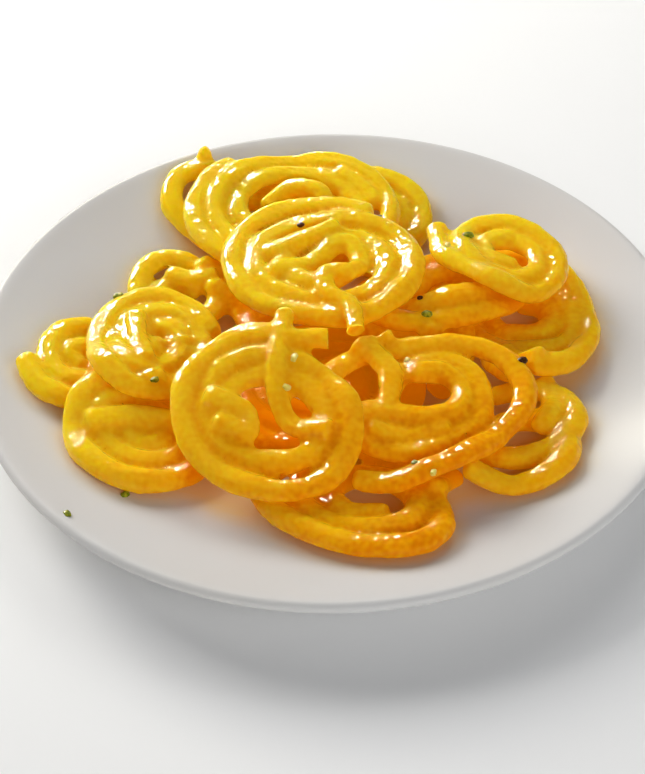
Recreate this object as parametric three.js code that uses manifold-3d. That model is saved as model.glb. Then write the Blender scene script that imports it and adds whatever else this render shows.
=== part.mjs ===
// A plate of jalebi: seventeen coiled sweets heaped on one round white plate. Millimetres, +Z up,
// +Y away from the person at the table, origin at the middle of the foot on the table.
import * as THREE from "three";
import { mergeVertices } from "three/addons/utils/BufferGeometryUtils.js";
import Module from "manifold-3d";

// Plate
const plateRadius = 130;
const lipRadius = 126; // where the bowl's curve meets the rounded lip
const lipHeight = 21.6;
const lipDrop = 4.5; // from the top of the lip to its underside
const wellRadius = 66;
const wellHeight = 6.5;
const bowlCurve = 1.55; // power of the rise from the well to the lip
const wallThickness = 4.6;
const footOuter = 72;
const footInner = 66;
const footRecess = 2;
const footChamfer = 1;
const bowlSteps = 5;
const underRadii = [86, 100, 114]; // where the bowl's underside has a corner
const lipRounding = 2;
const lipMiddle = 1.6; // how far the middle of the rounding lies below the lip's height
const plateSegments = 40;
const porcelain = 0xe9e6e1;

// Strands: each is a soft flattened rope of batter
const strandFlatness = 0.86; // height over width
const chordError = 1.5; // how far a straight piece of strand may leave its curve
const ringPitch = { least: 8, most: 14 };
const curveSamples = 600; // points that measure a curve before rings are set along it
const bendReach = 8; // samples each way over which the bend is measured
const pieceTurn = 140; // degrees of turn in one swept piece
const pieceOverlap = 0.5; // share of the half width by which a piece reaches into the next
const sectionAngles = [90, 30, -30, -90, -150, 150];
const sectionWidth = 1.14; // corners stand out so that the six-sided section has the rope's area
const tip = { reach: 0.6, size: 0.72, end: 0.95 }; // shares of the strand's half width
const bluntTip = { reach: 0.25, size: 0.94, end: 0.3 };

// Heap: each sweet settles on what already lies there, and sags between its supports
const heapHalf = 134;
const heapCell = 1;
const restGap = 0.35;
const sideGap = 0.3;
const sampleStep = 1.5;
const sagSlope = 0.5;
const sagRounding = 4;
const sagBlend = 3;
const crossingLift = 0.5; // share of the two strands' height by which a stroke climbs over a coil

// Sweets from the lowest to the highest. `at` is the middle in plan, `lean` the rise per
// millimetre along X and Y, `sink` how far it sags round its supports. The coil starts at the
// angle `start` and turns through `sweep` while its radius runs through `radii`, stretched by
// `stretch` [ratio, heading] and drifting by `drift`. Strokes and lumps are in the same plan;
// a lump's `lift` is from the middle of the nearest strand.
const sweets = [
  {
    at: [-4, -14], lean: [0, 0], sink: 6, strand: 4.5, tone: 0.8,
    start: -169, sweep: 1010, stretch: [1.1, 20], drift: [0, 0],
    radii: [31, 32, 31, 30, 29, 24, 22, 23, 21, 20, 14, 12, 13, 11, 6],
  },
  {
    at: [7, -74], lean: [0, -0.1], sink: 5, strand: 4.5, tone: 1,
    start: 134, sweep: 912, stretch: [1.4, -25], drift: [2, 1],
    radii: [20, 24, 22, 25, 21, 23, 15, 16, 15, 16, 14, 9, 7, 9, 9],
    strokes: [{ strand: 4, path: [[28, 1], [31, 6], [35, 11]] }],
  },
  {
    at: [66, -43], lean: [0.08, -0.12], sink: 6, strand: 4.3, tone: 0.5,
    start: -131, sweep: 608, stretch: [1, 0], drift: [4, 5],
    radii: [28, 21, 10, 9, 17, 13, 20, 23],
    strokes: [{ strand: 4, path: [[12, 29], [14, 20], [12, 11], [9, 3]] }],
  },
  {
    at: [75, 21], lean: [0.13, -0.08], sink: 5, strand: 4.5, tone: 0.3,
    start: -25, sweep: 915, stretch: [1.55, -75], drift: [0, 0],
    radii: [22, 20, 24, 24, 14, 15, 13, 15, 6, 8, 6],
    strokes: [
      { strand: 4.2, path: [[-11, -22], [-6, -28], [0, -32]] },
      { strand: 4.2, path: [[-17, -20], [-16, -28], [-11, -36]] },
    ],
  },
  {
    at: [29, 28], lean: [0, 0], sink: 6, strand: 4.4, tone: 0.4,
    start: -174, sweep: 690, stretch: [1.2, 10], drift: [0, 0],
    radii: [20, 22, 18, 17, 17, 14, 13, 9, 9],
    strokes: [{ strand: 4.4, path: [[19, -12], [21, -23], [17, -34], [10, -45]] }],
  },
  {
    at: [18, 82], lean: [0.02, 0.15], sink: 4, strand: 4.2, tone: 0,
    start: -134, sweep: -615, stretch: [1.05, -15], drift: [0, 0],
    radii: [19, 23, 20, 17, 15, 12, 11, 11],
    strokes: [{ strand: 4.2, path: [[-13, -12], [-8, -21], [1, -27], [12, -25]] }],
  },
  {
    at: [-33, 79], lean: [0, 0.2], sink: 5, strand: 4.4, tone: 0,
    start: 132, sweep: 760, stretch: [1.45, -25], drift: [4, 4],
    radii: [26, 19, 17, 19, 13, 12, 10, 9, 7],
    lumps: [{ at: [-17, 31], size: [3, 3, 5], lift: 3 }],
  },
  {
    at: [-92, -3], lean: [-0.2, 0], sink: 4, strand: 4.3, tone: 0.1,
    start: 108, sweep: 775, stretch: [1.25, 80], drift: [0, 0],
    radii: [20, 17, 15, 16, 16, 12, 9, 8, 8, 7, 5, 2],
  },
  {
    at: [-68, -38], lean: [-0.1, 0.08], sink: 6, strand: 4.6, tone: 0.4,
    start: 26, sweep: -979, stretch: [1.15, -45], drift: [0, 0],
    radii: [23, 25, 21, 20, 17, 14, 15, 11, 9, 7, 6, 3],
    strokes: [{ strand: 4.6, path: [[-17, -2], [-11, 1], [-4, 2], [3, 1], [10, 2]] }],
  },
  {
    at: [-57, 40], lean: [0, 0.1], sink: 7, strand: 4.4, tone: 0,
    start: -54, sweep: -555, stretch: [1.1, -75], drift: [0, 0],
    radii: [15, 17, 18, 14, 14, 14, 11, 8, 7, 7],
    strokes: [
      { strand: 4.2, path: [[-4, 8], [4, 5], [12, 7]] },
      { strand: 4.4, path: [[8, 13], [17, 9], [25, 3], [31, -5], [35, -14]] },
      { strand: 4.4, path: [[13, 1], [19, -4], [24, -11], [28, -20]] },
    ],
  },
  {
    at: [-15, 75], lean: [0, 0], sink: 5, strand: 4.3, tone: 0.1,
    start: 133, sweep: 1107, stretch: [1.15, -5], drift: [0, 0],
    radii: [34, 33, 33, 34, 28, 25, 23, 23, 20, 14, 13, 11, 8],
    strokes: [{ strand: 4, path: [[19, 21], [26, 15], [32, 4]] }],
  },
  {
    at: [41, 24], lean: [0, 0], sink: 6, strand: 4.4, tone: 0.7,
    start: -156, sweep: 678, stretch: [1.5, 15], drift: [0, 0],
    radii: [20, 18, 21, 18, 16, 13, 10, 13, 11, 9, 7],
    lumps: [{ at: [-5, -22], size: [5.5, 4, 3.6], lift: -0.6 }],
  },
  {
    at: [-66, -3], lean: [-0.1, -0.02], sink: 5, strand: 4.6, tone: 0.3,
    start: -61, sweep: 1067, stretch: [1.3, 80], drift: [0, 0],
    radii: [22, 22, 19, 20, 18, 14, 13, 12, 11, 8, 6, 4, 2],
    strokes: [{ strand: 4, path: [[-6, 12], [-5, 3], [-4, -5], [-1, -12]] }],
    lumps: [
      { at: [2, -21], size: [6, 5, 4], lift: 1.5 },
      { at: [11, 2], size: [4, 3, 1.6], lift: 2.4 },
    ],
  },
  {
    at: [65, 34], lean: [-0.05, -0.02], sink: 4, strand: 4.1, tone: 0.3,
    start: -160, sweep: 859, stretch: [1.3, -50], drift: [0, 0],
    radii: [23, 18, 18, 17, 20, 18, 14, 13, 12, 11, 12, 9, 7, 6, 5],
  },
  {
    at: [34, -39], lean: [0, 0.12], sink: 5, strand: 4.2, tone: 1,
    start: -178, sweep: 796, stretch: [1.2, 50], drift: [0, 0],
    radii: [34, 28, 27, 32, 28, 27, 37, 26, 20, 17, 18, 18, 19, 18, 13, 10, 9, 8],
    strokes: [
      { strand: 4.2, path: [[-23, 27], [-17, 21], [-13, 12], [-12, 4], [-14, -2]] },
      {
        strand: 4.2,
        path: [[-27, -7], [-19, -4], [-11, -5], [-2, -7], [7, -5], [12, 2], [11, 10], [4, 15], [-4, 14]],
      },
      { strand: 4, path: [[-20, -13], [-12, -15], [-2, -14], [5, -11]] },
    ],
    lumps: [
      { at: [-14, 30], size: [2.6, 2.4, 4.6], lift: 3 },
      { at: [-19, 28], size: [3, 2.4, 3.4], lift: 3 },
    ],
  },
  {
    at: [-2, 33], lean: [0.03, 0], sink: 4, strand: 4.3, tone: 0.3,
    start: 114, sweep: 974, stretch: [1.05, -55], drift: [0, 0],
    radii: [
      32, 32, 34, 34, 33, 31, 33, 33, 31, 24, 21, 24, 26, 25, 23, 24, 24, 20, 15, 12, 14, 16, 15, 13, 11,
    ],
    strokes: [
      {
        strand: 4.1,
        path: [[-18, -7], [-11, -5], [-3, 0], [4, 8], [10, 7], [13, -1], [12, -8], [8, -11]],
      },
      { strand: 3.8, path: [[-20, 4], [-11, 8], [-2, 12], [4, 16]] },
      {
        strand: 3.5, blunt: true,
        path: [[8, -10], [3, -8], [0, -12], [-1, -19], [3, -24], [8, -29], [10, -37], [11, -46]],
      },
    ],
  },
  {
    at: [-22, -45], lean: [0, 0.33], sink: 4, strand: 4.4, tone: 0.7,
    start: 127, sweep: 834, stretch: [1.2, -50], drift: [0, 0],
    radii: [27, 25, 29, 31, 30, 26, 20, 18, 19, 22, 19, 20, 15, 11, 12, 17],
    strokes: [
      { strand: 3.9, blunt: true, path: [[21, 26], [16, 26], [11, 26], [5, 25]] },
      {
        strand: 4,
        path: [[6, 36], [4, 28], [3, 19], [2, 10], [2, 4], [4, -2], [8, -8], [13, -12], [20, -14]],
      },
      {
        strand: 4.4,
        path: [[-20, 1], [-14, 0], [-9, -3], [-7, -8], [-7, -12], [-12, -13], [-17, -9]],
      },
    ],
  },
];

// Pistachio chips and cardamom seeds, each bedded in what lies under it.
const chips = [
  { at: [-79, 22], size: [4, 2.6, 2.4], turn: 20 },
  { at: [-16, -41], size: [3.4, 2.4, 2], turn: -30 },
  { at: [-13, -30], size: [3.8, 2.4, 2.2], turn: 60 },
  { at: [44, 35], size: [3, 2.2, 2.2], turn: 80 },
  { at: [52, 42], size: [4, 2.8, 2.4], turn: 10 },
  { at: [35, 5], size: [3.6, 2.8, 2.4], turn: 0 },
  { at: [-72, -69], size: [3.4, 2.4, 2], turn: 40 },
  { at: [-90, -86], size: [3.2, 2.2, 1.8], turn: 120 },
  { at: [-63, -27], size: [3, 2.2, 2], turn: 15 },
  { at: [34, -74], size: [2.6, 2, 1.8], turn: 70 },
  { at: [28, -69], size: [2.8, 2, 1.8], turn: -20 },
  { at: [27, -19], size: [3, 2, 2], turn: 75 },
  { at: [68, -20], size: [4.4, 3.2, 2.8], turn: 25 },
  { at: [-11, 51], size: [3, 2, 1.8], turn: 5 },
  { at: [19, 55], size: [3, 2, 1.8], turn: 35 },
  { at: [33, 14], size: [2.4, 2, 1.8], turn: 0 },
];
const chipBed = 0.15; // share of a chip's height by which its middle lies under the surface

const weld = 1e-3; // corners closer than this are one

const wasm = await Module();
wasm.setup();

function solidOf(geometry) {
  const bare = geometry.clone();
  bare.deleteAttribute("normal");
  bare.deleteAttribute("uv");
  const merged = mergeVertices(bare, weld);
  return new wasm.Manifold(
    new wasm.Mesh({
      numProp: 3,
      vertProperties: merged.attributes.position.array,
      triVerts: new Uint32Array(merged.index.array),
    }),
  );
}

function geometryOf(solid) {
  const { vertProperties, triVerts } = solid.getMesh();
  return new THREE.BufferGeometry()
    .setAttribute("position", new THREE.BufferAttribute(vertProperties, 3))
    .setIndex(new THREE.BufferAttribute(triVerts, 1));
}

function meshOf(solid, name, color) {
  const geometry = geometryOf(solid);
  geometry.computeVertexNormals();
  const mesh = new THREE.Mesh(geometry, new THREE.MeshStandardMaterial({ color, roughness: 0.3 }));
  mesh.name = name;
  return mesh;
}

// Height of the plate's upper face: flat in the well, then rising by a power to the lip.
function plateTop(radius) {
  const share = Math.max(radius - wellRadius, 0) / (lipRadius - wellRadius);
  return wellHeight + (lipHeight - wellHeight) * share ** bowlCurve;
}

function plateGeometry() {
  const under = (radius) => [radius, plateTop(radius) - wallThickness];
  const top = [];
  for (let i = bowlSteps; i >= 0; i--) {
    const radius = wellRadius + ((lipRadius - wellRadius) * i) / bowlSteps;
    top.push([radius, plateTop(radius)]);
  }
  const lip = [-45, 0, 45, 90].map((degrees) => {
    const turn = THREE.MathUtils.degToRad(degrees);
    return [
      plateRadius - lipRounding * (1 - Math.cos(turn)),
      lipHeight - lipMiddle + lipRounding * Math.sin(turn),
    ];
  });
  const profile = [
    [0, footRecess],
    [footInner, footRecess],
    [footInner + footChamfer, 0],
    [footOuter - footChamfer, 0],
    [footOuter, footRecess + footChamfer / 2],
    ...underRadii.map(under),
    [lipRadius + footChamfer, lipHeight - lipDrop],
    ...lip,
    ...top,
    [0, wellHeight],
  ];
  return new THREE.LatheGeometry(profile.map(([r, z]) => new THREE.Vector2(r, z)), plateSegments)
    .rotateX(Math.PI / 2);
}

const mix = (a, b, share) => a.map((value, axis) => value + (b[axis] - value) * share);

// Smooth curve (Catmull-Rom) through evenly spaced values.
function through(values, t) {
  const last = values.length - 1;
  const i = Math.min(Math.floor(t), last - 1);
  const f = t - i;
  const [a, b, c, d] = [-1, 0, 1, 2].map((k) => values[Math.min(Math.max(i + k, 0), last)]);
  const bend = (2 * a - 5 * b + 4 * c - d) * f * f + (3 * b - a - 3 * c + d) * f * f * f;
  return (2 * b + (c - a) * f + bend) / 2;
}

// Plan of a coil: radius against turn, stretched along the heading, drifting as it winds.
function coilPoint({ radii, start, sweep, stretch: [ratio, heading], drift }, share) {
  const turn = THREE.MathUtils.degToRad(start + sweep * share);
  const along = THREE.MathUtils.degToRad(heading);
  const radius = through(radii, share * (radii.length - 1));
  const u = ratio * radius * Math.cos(turn);
  const v = radius * Math.sin(turn);
  return [
    u * Math.cos(along) - v * Math.sin(along) + drift[0] * share,
    u * Math.sin(along) + v * Math.cos(along) + drift[1] * share,
  ];
}

function strokePoint({ path }, share) {
  const t = share * (path.length - 1);
  return [0, 1].map((axis) => through(path.map((p) => p[axis]), t));
}

// Rings along a plan curve, closer together where it bends more: the pitch is the chord whose
// arc leaves it by chordError, sqrt(8 * radius of bend * chordError).
function ringsAlong(point) {
  const fine = Array.from({ length: curveSamples + 1 }, (_, i) => point(i / curveSamples));
  const step = (i) => [fine[i + 1][0] - fine[i][0], fine[i + 1][1] - fine[i][1]];
  const lengths = fine.slice(1).map((_, i) => Math.hypot(...step(i)));
  const headings = fine.slice(1).map((_, i) => Math.atan2(step(i)[1], step(i)[0]));
  const spent = [0];
  for (let i = 0; i < curveSamples; i++) {
    const [from, to] = [Math.max(i - bendReach, 0), Math.min(i + bendReach, curveSamples - 1)];
    const change = headings[to] - headings[from];
    const turn = Math.abs(Math.atan2(Math.sin(change), Math.cos(change)));
    const length = lengths.slice(from, to).reduce((sum, next) => sum + next, 0);
    const pitch = Math.sqrt((8 * chordError * length) / Math.max(turn, 1e-3));
    spent.push(spent[i] + lengths[i] / THREE.MathUtils.clamp(pitch, ringPitch.least, ringPitch.most));
  }
  const rings = Math.max(Math.round(spent[curveSamples]), 2);
  let k = 0;
  return Array.from({ length: rings + 1 }, (_, i) => {
    const wanted = (spent[curveSamples] * i) / rings;
    while (k < curveSamples - 1 && spent[k + 1] < wanted) k++;
    const share = THREE.MathUtils.clamp((wanted - spent[k]) / (spent[k + 1] - spent[k]), 0, 1);
    return mix(fine[k], fine[k + 1], share);
  });
}

// The heap's upper surface on a square grid, with the sweet that owns each cell.
const heapSize = Math.round((2 * heapHalf) / heapCell) + 1;
const heapTop = new Float64Array(heapSize * heapSize);
const gridLine = (i) => i * heapCell - heapHalf;
for (let j = 0; j < heapSize; j++)
  for (let i = 0; i < heapSize; i++)
    heapTop[j * heapSize + i] = plateTop(Math.hypot(gridLine(i), gridLine(j)));

// Calls visit(cell, share) for each grid cell under a strand, share being 0 at its middle line.
function underStrand([x, y], width, visit) {
  const low = (c) => Math.max(Math.ceil((c - width + heapHalf) / heapCell), 0);
  const high = (c) => Math.min(Math.floor((c + width + heapHalf) / heapCell), heapSize - 1);
  for (let j = low(y); j <= high(y); j++)
    for (let i = low(x); i <= high(x); i++) {
      const away = Math.hypot(gridLine(i) - x, gridLine(j) - y);
      if (away < width) visit(j * heapSize + i, away / width);
    }
}

const halfHeight = (share) => Math.sqrt(1 - share * share);
const crests = []; // middle-line points of all strands laid so far, with the sweet's number

// Lowest centre height at which a strand clears the heap.
function clearance(point, strand) {
  let height = -Infinity;
  underStrand(point, strand, (cell, share) => {
    const half = strandFlatness * strand * halfHeight(share);
    height = Math.max(height, heapTop[cell] + half + restGap);
  });
  return height;
}

// Settles one sweet: a leaning plane through its highest support less `sink`, raised where a
// support is higher, as a cloth held up by posts is, and blended smoothly.
function layDown({ at, lean, sink, ...sweet }, index) {
  const tilt = lean.map((rise) => 1 / Math.hypot(1, rise));
  const strands = [
    { strand: sweet.strand, plan: ringsAlong((share) => coilPoint(sweet, share)) },
    ...(sweet.strokes ?? []).map((stroke) => ({
      ...stroke,
      plan: ringsAlong((share) => strokePoint(stroke, share)),
    })),
  ];
  const ground = (p) => p.map((value, axis) => value * tilt[axis] + at[axis]);
  const samples = [];
  for (const [part, { plan, strand }] of strands.entries())
    for (let k = 0; k + 1 < plan.length; k++) {
      const span = Math.hypot(plan[k + 1][0] - plan[k][0], plan[k + 1][1] - plan[k][1]);
      const steps = Math.ceil(span / sampleStep);
      for (let i = k ? 1 : 0; i <= steps; i++) {
        const point = mix(plan[k], plan[k + 1], i / steps);
        samples.push({ part, k, share: i / steps, point, strand });
      }
    }
  // A stroke climbs over the strands laid before it in the same sweet.
  const climb = (point, part, strand) => {
    let most = 0;
    for (const other of samples) {
      if (other.part >= part) break;
      const reach = strand + other.strand;
      const away = Math.hypot(point[0] - other.point[0], point[1] - other.point[1]) / reach;
      const lift = crossingLift * reach * strandFlatness * (1 - away * away) ** 2;
      if (away < 1) most = Math.max(most, lift);
    }
    return most;
  };
  for (const sample of samples) {
    sample.climb = climb(sample.point, sample.part, sample.strand);
    sample.need = clearance(ground(sample.point), sample.strand) - sample.climb;
  }
  const slope = (p) => p[0] * lean[0] + p[1] * lean[1];
  const level = Math.max(...samples.map((s) => s.need - slope(s.point))) - sink;
  const rest = (point) => {
    const plane = level + slope(point);
    let tent = -Infinity;
    for (const s of samples) {
      const away = Math.hypot(point[0] - s.point[0], point[1] - s.point[1]);
      tent = Math.max(tent, s.need - sagSlope * (Math.hypot(away, sagRounding) - sagRounding));
    }
    const share = THREE.MathUtils.clamp(0.5 + (plane - tent) / (2 * sagBlend), 0, 1);
    return tent + (plane - tent) * share + sagBlend * share * (1 - share);
  };
  strands.forEach((strand, part) => {
    const heights = strand.plan.map((p) => rest(p) + climb(p, part, strand.strand));
    const raise = heights.map(() => 0);
    const mine = samples.filter((s) => s.part === part);
    for (const { k, share, need, climb: up } of mine) {
      const short = need + up - (heights[k] * (1 - share) + heights[k + 1] * share);
      raise[k] = Math.max(raise[k], short);
      raise[k + 1] = Math.max(raise[k + 1], short);
    }
    strand.rings = strand.plan.map((p, k) => new THREE.Vector3(...ground(p), heights[k] + raise[k]));
  });
  const cover = (point, width, middle, half) =>
    underStrand(point, width, (cell, out) => {
      heapTop[cell] = Math.max(heapTop[cell], middle + half * halfHeight(out));
    });
  for (const { part, k, share, point, strand } of samples) {
    const { rings } = strands[part];
    const middle = rings[k].clone().lerp(rings[k + 1], share);
    cover(ground(point), strand + sideGap, middle.z, strandFlatness * strand);
    crests.push({ middle, strand, index });
  }
  const lumps = (sweet.lumps ?? []).map(({ at: place, size, lift }) => {
    const [x, y] = ground(place);
    const away = ({ middle }) => Math.hypot(middle.x - x, middle.y - y);
    const mine = crests.filter((crest) => crest.index === index);
    const nearest = mine.reduce((best, crest) => (away(crest) < away(best) ? crest : best));
    cover([x, y], Math.max(size[0], size[1]) + sideGap, nearest.middle.z + lift, size[2]);
    return { middle: [x, y, nearest.middle.z + lift], size, turn: 0 };
  });
  return { strands, lumps };
}

// The node and the height on which a chip lies: the highest strand under it, or else the plate.
function restingPlace([x, y]) {
  let place = { index: -1, height: plateTop(Math.hypot(x, y)) };
  for (const { middle, strand, index } of crests) {
    const away = Math.hypot(middle.x - x, middle.y - y) / strand;
    const height = middle.z + strandFlatness * strand * (1 - away / 2);
    if (away < 1 && height > place.height) place = { index, height };
  }
  return place;
}

function pebble({ middle, size, turn }, detail) {
  return new THREE.IcosahedronGeometry(1, detail)
    .scale(...size)
    .rotateZ(THREE.MathUtils.degToRad(turn))
    .translate(...middle);
}

// A closed tube through rings of the six-sided section, each end shut by a flat or a point.
function tube(stations, strand) {
  const sides = sectionAngles.length;
  const vertices = [];
  const faces = [];
  for (const { middle, side, up, size } of stations)
    for (const angle of sectionAngles.map(THREE.MathUtils.degToRad))
      vertices.push(
        middle.clone()
          .addScaledVector(side, Math.cos(angle) * sectionWidth * strand * size)
          .addScaledVector(up, Math.sin(angle) * strandFlatness * strand * size),
      );
  for (let k = 0; k + 1 < stations.length; k++)
    for (let i = 0; i < sides; i++) {
      const [a, b] = [k * sides + i, k * sides + ((i + 1) % sides)];
      faces.push(a, b, a + sides, b, b + sides, a + sides);
    }
  const last = (stations.length - 1) * sides;
  const shut = (first, point, flip) => {
    vertices.push(point);
    for (let i = 0; i < sides; i++) {
      const [a, b] = [first + i, first + ((i + 1) % sides)];
      faces.push(...(flip ? [b, a, vertices.length - 1] : [a, b, vertices.length - 1]));
    }
  };
  shut(0, stations[0].cap ?? stations[0].middle, true);
  shut(last, stations.at(-1).cap ?? stations.at(-1).middle, false);
  return new THREE.BufferGeometry().setFromPoints(vertices).setIndex(faces);
}

// Sweeps one strand in pieces of less than half a turn, each reaching a little into the next.
function strandSolids({ rings, strand, blunt }) {
  const above = new THREE.Vector3(0, 0, 1);
  const station = (k) => {
    const [before, after] = [rings[Math.max(k - 1, 0)], rings[Math.min(k + 1, rings.length - 1)]];
    const ahead = after.clone().sub(before).normalize();
    const side = ahead.clone().cross(above).normalize();
    return { middle: rings[k], ahead, side, up: side.clone().cross(ahead), size: 1 };
  };
  const stations = rings.map((_, k) => station(k));
  const shape = blunt ? bluntTip : tip;
  const closing = (end, sign) => ({
    ...end,
    middle: end.middle.clone().addScaledVector(end.ahead, sign * shape.reach * strand),
    size: shape.size,
    cap: end.middle.clone().addScaledVector(end.ahead, sign * shape.end * strand),
  });
  stations.unshift(closing(stations[0], -1));
  stations.push(closing(stations.at(-1), 1));
  const solids = [];
  let from = 0;
  let turned = 0;
  for (let k = 1; k < stations.length; k++) {
    turned += THREE.MathUtils.radToDeg(stations[k].ahead.angleTo(stations[k - 1].ahead));
    if (turned > pieceTurn || k === stations.length - 1) {
      const piece = stations.slice(from, k + 1);
      const end = piece.at(-1);
      end.cap ??= end.middle.clone().addScaledVector(end.ahead, pieceOverlap * strand);
      solids.push(solidOf(tube(piece, strand)));
      delete end.cap;
      from = k;
      turned = 0;
    }
  }
  return solids;
}

const laid = sweets.map(layDown);
const parts = laid.map(({ strands, lumps }) => [
  ...strands.flatMap(strandSolids),
  ...lumps.map((lump) => solidOf(pebble(lump, 1))),
]);
const plateParts = [solidOf(plateGeometry())];
for (const { at, size, turn } of chips) {
  const { index, height } = restingPlace(at);
  const half = size.map((length) => length / 2);
  const chip = solidOf(pebble({ middle: [...at, height - chipBed * size[2]], size: half, turn }, 0));
  (parts[index] ?? plateParts).push(chip);
}

const join = (solids) => solids.reduce((sum, next) => sum.add(next));

// The joined solid with the hollows filled that its pieces seal between them.
const filled = (solid) => {
  const bodies = solidOf(geometryOf(solid)).decompose();
  return join(bodies.filter((body) => body.volume() > 0));
};

const deep = new THREE.Color(0xd07a08);
const bright = new THREE.Color(0xf2c018);
const group = new THREE.Group();
group.name = "jalebi_plate";
group.add(meshOf(join(plateParts), "plate", porcelain));
parts.forEach((solids, i) => {
  const name = `jalebi_${String(i + 1).padStart(2, "0")}`;
  group.add(meshOf(filled(join(solids)), name, bright.clone().lerp(deep, sweets[i].tone)));
});

export default group;
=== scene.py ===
import bpy
import math
import numpy as np
from mathutils import Euler, Matrix, Vector


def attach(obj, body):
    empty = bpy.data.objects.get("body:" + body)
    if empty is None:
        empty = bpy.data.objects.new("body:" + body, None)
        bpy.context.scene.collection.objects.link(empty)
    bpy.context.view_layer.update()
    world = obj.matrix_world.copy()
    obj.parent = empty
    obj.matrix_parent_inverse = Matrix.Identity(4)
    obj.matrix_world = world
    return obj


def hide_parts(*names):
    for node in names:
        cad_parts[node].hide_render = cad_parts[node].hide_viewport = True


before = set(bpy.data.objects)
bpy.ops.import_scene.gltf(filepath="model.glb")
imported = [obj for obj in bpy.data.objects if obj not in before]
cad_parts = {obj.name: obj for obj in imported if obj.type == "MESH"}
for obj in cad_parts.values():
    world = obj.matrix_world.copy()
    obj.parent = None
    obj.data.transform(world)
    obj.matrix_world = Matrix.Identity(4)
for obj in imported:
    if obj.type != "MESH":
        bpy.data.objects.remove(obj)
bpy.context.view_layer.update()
mm = 0.001
print("frame loaded")


# A mesh piece from points in millimetres, smooth shaded.
def makeMesh(name, points, faces, material, slot=None):
    mesh = bpy.data.meshes.new(name)
    mesh.from_pydata((np.asarray(points) * mm).tolist(), [], faces)
    mesh.polygons.foreach_set("use_smooth", np.ones(len(mesh.polygons), bool))
    mesh.materials.append(material)
    piece = bpy.data.objects.new(name, mesh)
    bpy.context.scene.collection.objects.link(piece)
    return piece


# A row of three for each vertex.
def readVertices(mesh, what):
    values = np.empty(len(mesh.vertices) * 3)
    mesh.vertices.foreach_get(what, values)
    return values.reshape(-1, 3)


# Several skins as one, with each skin's faces counted on from the points before it.
def joinSkins(skins):
    starts = np.cumsum([0] + [len(points) for points, _ in skins])
    faces = [[k + start for k in face] for start, (_, skin) in zip(starts.tolist(), skins) for face in skin]
    return np.vstack([points for points, _ in skins]), faces


latticeCells = 32  # a side, after which the noise repeats
latticeShift = 500  # keeps every place above zero


# Soft noise from -1 to 1: random numbers on a lattice, blended with a smooth step.
def latticeNoise(points, size, seed):
    table = np.random.default_rng(seed).uniform(-1, 1, (latticeCells,) * 3)
    place = np.asarray(points) / size + latticeShift
    cell = np.floor(place).astype(int)
    share = place - cell
    share = share * share * (3 - 2 * share)
    total = np.zeros(len(place))
    for corner in np.ndindex(2, 2, 2):
        weight = np.prod(np.where(corner, share, 1 - share), axis=1)
        total += weight * table[tuple(((cell + corner) % latticeCells).T)]
    return total


# Catmull-Rom curve between b and c, whose neighbours are a and d, at the share f of the way.
def catmullRom(a, b, c, d, f):
    return 0.5 * (2 * b + (c - a) * f + (2 * a - 5 * b + 4 * c - d) * f**2 + (3 * b - a - 3 * c + d) * f**3)


# A smooth random curve along a strand, about -1 to 1, turning every `length` steps.
def wobble(length, count, seed):
    knots = np.random.default_rng(seed).uniform(-1, 1, int(count / length) + 4)
    at = np.arange(count) / length + 1
    i = at.astype(int)
    return catmullRom(*(knots[i + k] for k in (-1, 0, 1, 2)), at - i)


# The curve through evenly spaced values, with its ends held.
def through(values, t):
    values = np.asarray(values, float)
    last = len(values) - 1
    i = np.minimum(np.floor(t).astype(int), last - 1)
    f = t - i
    if values.ndim > 1:
        f = f[:, None]
    return catmullRom(*(values[np.clip(i + k, 0, last)] for k in (-1, 0, 1, 2)), f)


# 0 below low, 1 above high, and share^2 (3 - 2 share) between.
def smoothStep(low, high, value):
    share = np.clip((value - low) / (high - low), 0, 1)
    return share * share * (3 - 2 * share)


# A material with a Principled shader and nothing else.
def newMaterial(name):
    material = bpy.data.materials.new(name)
    material.use_nodes = True
    nodes = material.node_tree.nodes
    nodes.clear()
    output = nodes.new("ShaderNodeOutputMaterial")
    shader = nodes.new("ShaderNodeBsdfPrincipled")
    material.node_tree.links.new(shader.outputs[0], output.inputs[0])
    return material, shader


# A node with its settings and inputs; an input is a value or another node's output.
def addNode(material, kind, settings=None, **inputs):
    node = material.node_tree.nodes.new(kind)
    for key, value in (settings or {}).items():
        setattr(node, key, value)
    for key, value in inputs.items():
        socket = node.inputs[int(key[1:]) if key[1:].isdigit() else key.replace("_", " ")]
        if isinstance(value, bpy.types.NodeSocket):
            material.node_tree.links.new(value, socket)
        else:
            socket.default_value = value
    return node


def joinSocket(material, output, shader, name):
    material.node_tree.links.new(output, shader.inputs[name])


def objectPlace(material):
    return addNode(material, "ShaderNodeTexCoord").outputs["Object"]


def attribute(material, name):
    return addNode(material, "ShaderNodeAttribute", {"attribute_name": name}).outputs["Fac"]


def noise(material, place, scale, detail, roughness=0.5):
    node = addNode(material, "ShaderNodeTexNoise", Vector=place, Scale=scale, Detail=detail,
                   Roughness=roughness)
    return node.outputs["Fac"]


# A maths node's result: the operation on the values given.
def maths(material, operation, *values):
    inputs = {f"_{place}": value for place, value in enumerate(values)}
    return addNode(material, "ShaderNodeMath", {"operation": operation}, **inputs).outputs[0]


# Colour or value ramp from [(place, colour or number), ...].
def ramp(material, factor, stops):
    node = addNode(material, "ShaderNodeValToRGB", Fac=factor)
    elements = node.color_ramp.elements
    while len(elements) < len(stops):
        elements.new(0.5)
    for element, (place, value) in zip(elements, stops):
        element.position = place
        element.color = (value, value, value, 1) if isinstance(value, (int, float)) else (*value, 1)
    return node.outputs["Color"]


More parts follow.
